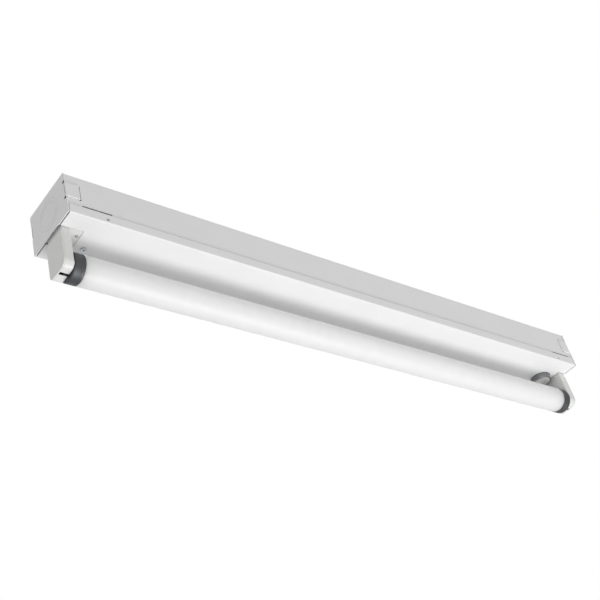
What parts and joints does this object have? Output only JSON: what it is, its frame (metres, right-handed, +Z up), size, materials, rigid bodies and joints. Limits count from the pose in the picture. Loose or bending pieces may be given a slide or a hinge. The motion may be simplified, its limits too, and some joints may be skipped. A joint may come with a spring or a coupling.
{
  "type": "strip light",
  "caption": "Ceiling strip light: a folded white steel channel with a drop-off cover, a rotary lampholder at each end and a straight tube lamp below it.",
  "frame": {"origin": "centre of the channel's back, in the plane of the ceiling, midway between the two ceiling fixing slots", "axes": "+X along the lamp towards the end with the starter, +Z up to the ceiling, -Y the side that the picture shows"},
  "size_m": [0.612, 0.057, 0.0861],
  "materials": {
    "white_enamel_steel": "smooth satin white baked enamel on folded steel sheet",
    "zinc_plated_steel": "bright zinc plating",
    "white_polycarbonate": "moulded, satin",
    "phosphor_bronze": "rolled spring strip",
    "phosphor_coated_glass": "clear tube coated inside with white phosphor powder",
    "cap_aluminium": "spun, slightly dull",
    "phenolic_board": "pressed board",
    "pin_brass": "turned brass",
    "clear_glass": "clear soda glass",
    "tungsten_wire": "drawn wire",
    "starter_can_aluminium": "deep drawn can",
    "film_capacitor": "dipped in lacquer",
    "lamination_steel": "varnished silicon steel stack",
    "winding_tape": "yellow polyester tape over enamelled wire",
    "grey_polyamide": "moulded",
    "black_nylon": "moulded",
    "brown_pvc": "extruded insulation",
    "blue_pvc": "extruded insulation",
    "green_yellow_pvc": "extruded insulation",
    "white_pvc": "extruded insulation"
  },
  "bodies": {
    "fixture": {"channel": "white_enamel_steel", "end_plate_left": "white_enamel_steel", "end_plate_right": "white_enamel_steel", "end_plate_rivets": "zinc_plated_steel", "holder_bracket_left": "zinc_plated_steel", "holder_bracket_right": "zinc_plated_steel", "lampholder_body_left": "white_polycarbonate", "lampholder_body_right": "white_polycarbonate", "lampholder_back_left": "white_polycarbonate", "lampholder_back_right": "white_polycarbonate", "lampholder_contacts_left": "phosphor_bronze", "lampholder_contacts_right": "phosphor_bronze", "lampholder_rivets": "zinc_plated_steel", "ballast_base": "zinc_plated_steel", "ballast_core": "lamination_steel", "ballast_coil": "winding_tape", "ballast_terminals": "grey_polyamide", "ballast_screws": "zinc_plated_steel", "terminal_block": "grey_polyamide", "terminal_inserts": "pin_brass", "terminal_screws": "zinc_plated_steel", "terminal_block_screw": "zinc_plated_steel", "cable_bushing": "black_nylon", "earth_screw": "zinc_plated_steel", "earth_tag": "phosphor_bronze", "starter_socket": "white_polycarbonate", "starter_socket_contacts": "phosphor_bronze", "starter_socket_screw": "zinc_plated_steel", "lead_live": "brown_pvc", "lead_choke_out": "white_pvc", "lead_starter_left": "white_pvc", "lead_starter_right": "white_pvc", "lead_neutral": "blue_pvc", "lead_earth": "green_yellow_pvc"},
    "cover": {"channel_cover": "white_enamel_steel"},
    "cover_screw": {"cover_screw": "zinc_plated_steel"},
    "lamp": {"lamp_glass": "phosphor_coated_glass", "lamp_cap_left": "cap_aluminium", "lamp_cap_right": "cap_aluminium", "lamp_cap_insulator_left": "phenolic_board", "lamp_cap_insulator_right": "phenolic_board", "lamp_pins_left": "pin_brass", "lamp_pins_right": "pin_brass", "lamp_stem_left": "clear_glass", "lamp_stem_right": "clear_glass", "lamp_cathode_left": "tungsten_wire", "lamp_cathode_right": "tungsten_wire"},
    "rotor_left": {"lampholder_rotor_left": "black_nylon"},
    "rotor_right": {"lampholder_rotor_right": "black_nylon"},
    "starter": {"starter_can": "starter_can_aluminium", "starter_base": "white_polycarbonate", "starter_pins": "pin_brass", "starter_bulb": "clear_glass", "starter_capacitor": "film_capacitor"}
  },
  "joints": [
    {"name": "cover_drop", "type": "slide", "parent": "fixture", "child": "cover", "axis": [0, 0, -1], "range_m": [0, 0.0155]},
    {"name": "cover_screw_turn", "type": "hinge", "parent": "cover", "child": "cover_screw", "pos_m": [-0.2745, 0.006, -0.0426], "axis": [0, 0, -1], "range_deg": [0, 1080]},
    {"name": "lamp_turn", "type": "hinge", "parent": "fixture", "child": "lamp", "pos_m": [0, 0, -0.0734], "axis": [1, 0, 0], "range_deg": [0, 90]},
    {"name": "rotor_left_turn", "type": "hinge", "parent": "fixture", "child": "rotor_left", "pos_m": [-0.2975, 0, -0.0734], "axis": [1, 0, 0], "range_deg": [0, 90]},
    {"name": "rotor_right_turn", "type": "hinge", "parent": "fixture", "child": "rotor_right", "pos_m": [0.2963, 0, -0.0734], "axis": [1, 0, 0], "range_deg": [0, 90]},
    {"name": "starter_turn", "type": "hinge", "parent": "fixture", "child": "starter", "pos_m": [0.2808, 0.0036, -0.0485], "axis": [0, 0, -1], "range_deg": [0, 45]}
  ],
  "couplings": [
    {"joint": "rotor_left_turn", "follows": "lamp_turn", "ratio": 1},
    {"joint": "rotor_right_turn", "follows": "lamp_turn", "ratio": 1}
  ]
}
